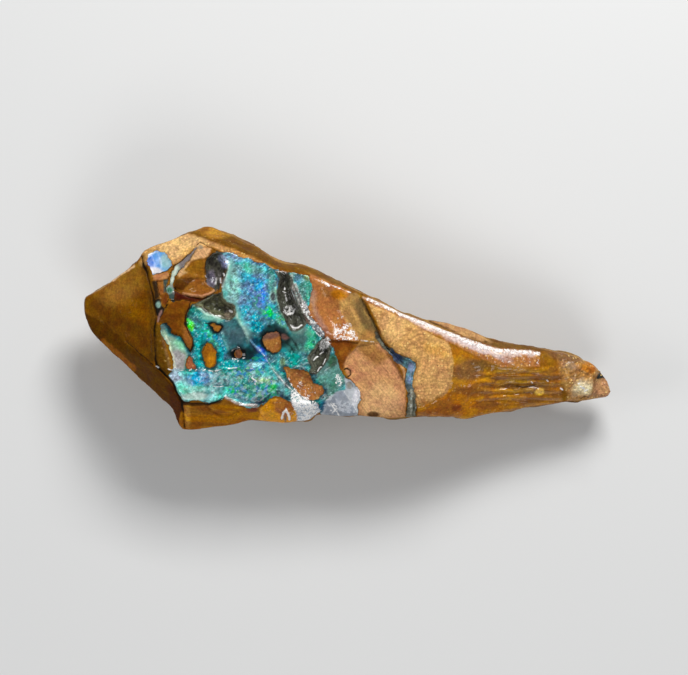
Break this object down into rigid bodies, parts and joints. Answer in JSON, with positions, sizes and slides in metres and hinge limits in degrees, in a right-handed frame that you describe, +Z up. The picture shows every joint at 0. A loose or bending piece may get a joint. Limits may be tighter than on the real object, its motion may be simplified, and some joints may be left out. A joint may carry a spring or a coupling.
{
  "type": "rough boulder opal",
  "caption": "Rough boulder opal: a long tapering split of brown ironstone with blue-green precious opal across its upper face, lying on a natural flat.",
  "frame": {"origin": "centre of the bounding box in plan, at the height of the flat that the stone rests on", "axes": "+X along the stone from its blunt west end to its thin east tip, +Y across it towards the long slanting edge, +Z up out of the opal face"},
  "size_m": [0.0602, 0.0232, 0.0143],
  "materials": {
    "boulder_opal": "broken ironstone, ochre to dark brown, with glossy blue, green and white precious opal across the upper face"
  },
  "bodies": {
    "root": {"boulder_opal": "boulder_opal"}
  },
  "joints": []
}
